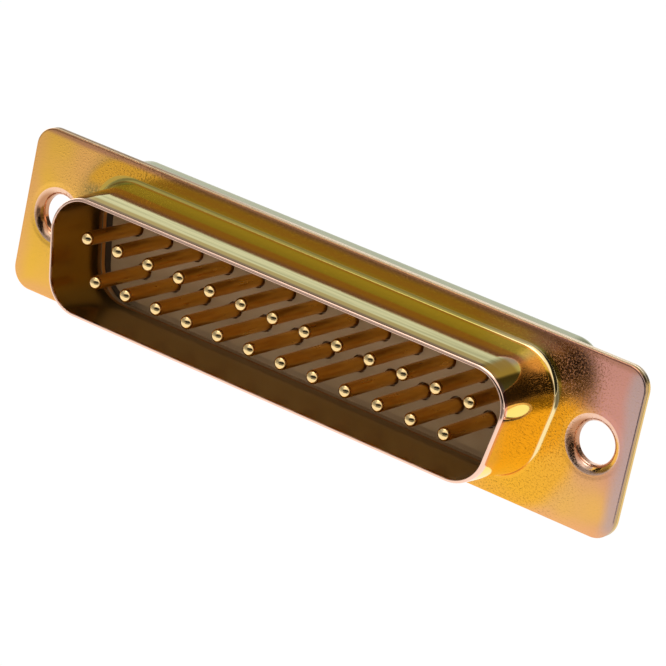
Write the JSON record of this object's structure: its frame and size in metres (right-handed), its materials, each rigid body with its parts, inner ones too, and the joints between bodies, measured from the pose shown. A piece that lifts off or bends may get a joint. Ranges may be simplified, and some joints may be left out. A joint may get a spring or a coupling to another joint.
{
  "type": "d-sub connector",
  "caption": "D-shaped plug connector with a flanged metal skirt around two rows of round pins, two eyelet mounting holes and solder cups behind.",
  "frame": {"origin": "midway between the two mounting holes, on the front face of the flange", "axes": "+X along the connector, from the first contact of the longer row to its last; -Y out of the mating side; +Z towards the longer row of contacts"},
  "size_m": [0.053, 0.0164, 0.0126],
  "materials": {
    "shell_steel": "satin yellow passivated plating",
    "contact": "bright gold plated",
    "insulator": "matte moulded"
  },
  "bodies": {
    "root": {"front_shell": "shell_steel", "rear_shell": "shell_steel", "front_insulator": "insulator", "rear_insulator": "insulator", "pin_01": "contact", "pin_02": "contact", "pin_03": "contact", "pin_04": "contact", "pin_05": "contact", "pin_06": "contact", "pin_07": "contact", "pin_08": "contact", "pin_09": "contact", "pin_10": "contact", "pin_11": "contact", "pin_12": "contact", "pin_13": "contact", "pin_14": "contact", "pin_15": "contact", "pin_16": "contact", "pin_17": "contact", "pin_18": "contact", "pin_19": "contact", "pin_20": "contact", "pin_21": "contact", "pin_22": "contact", "pin_23": "contact", "pin_24": "contact", "pin_25": "contact"}
  },
  "joints": []
}
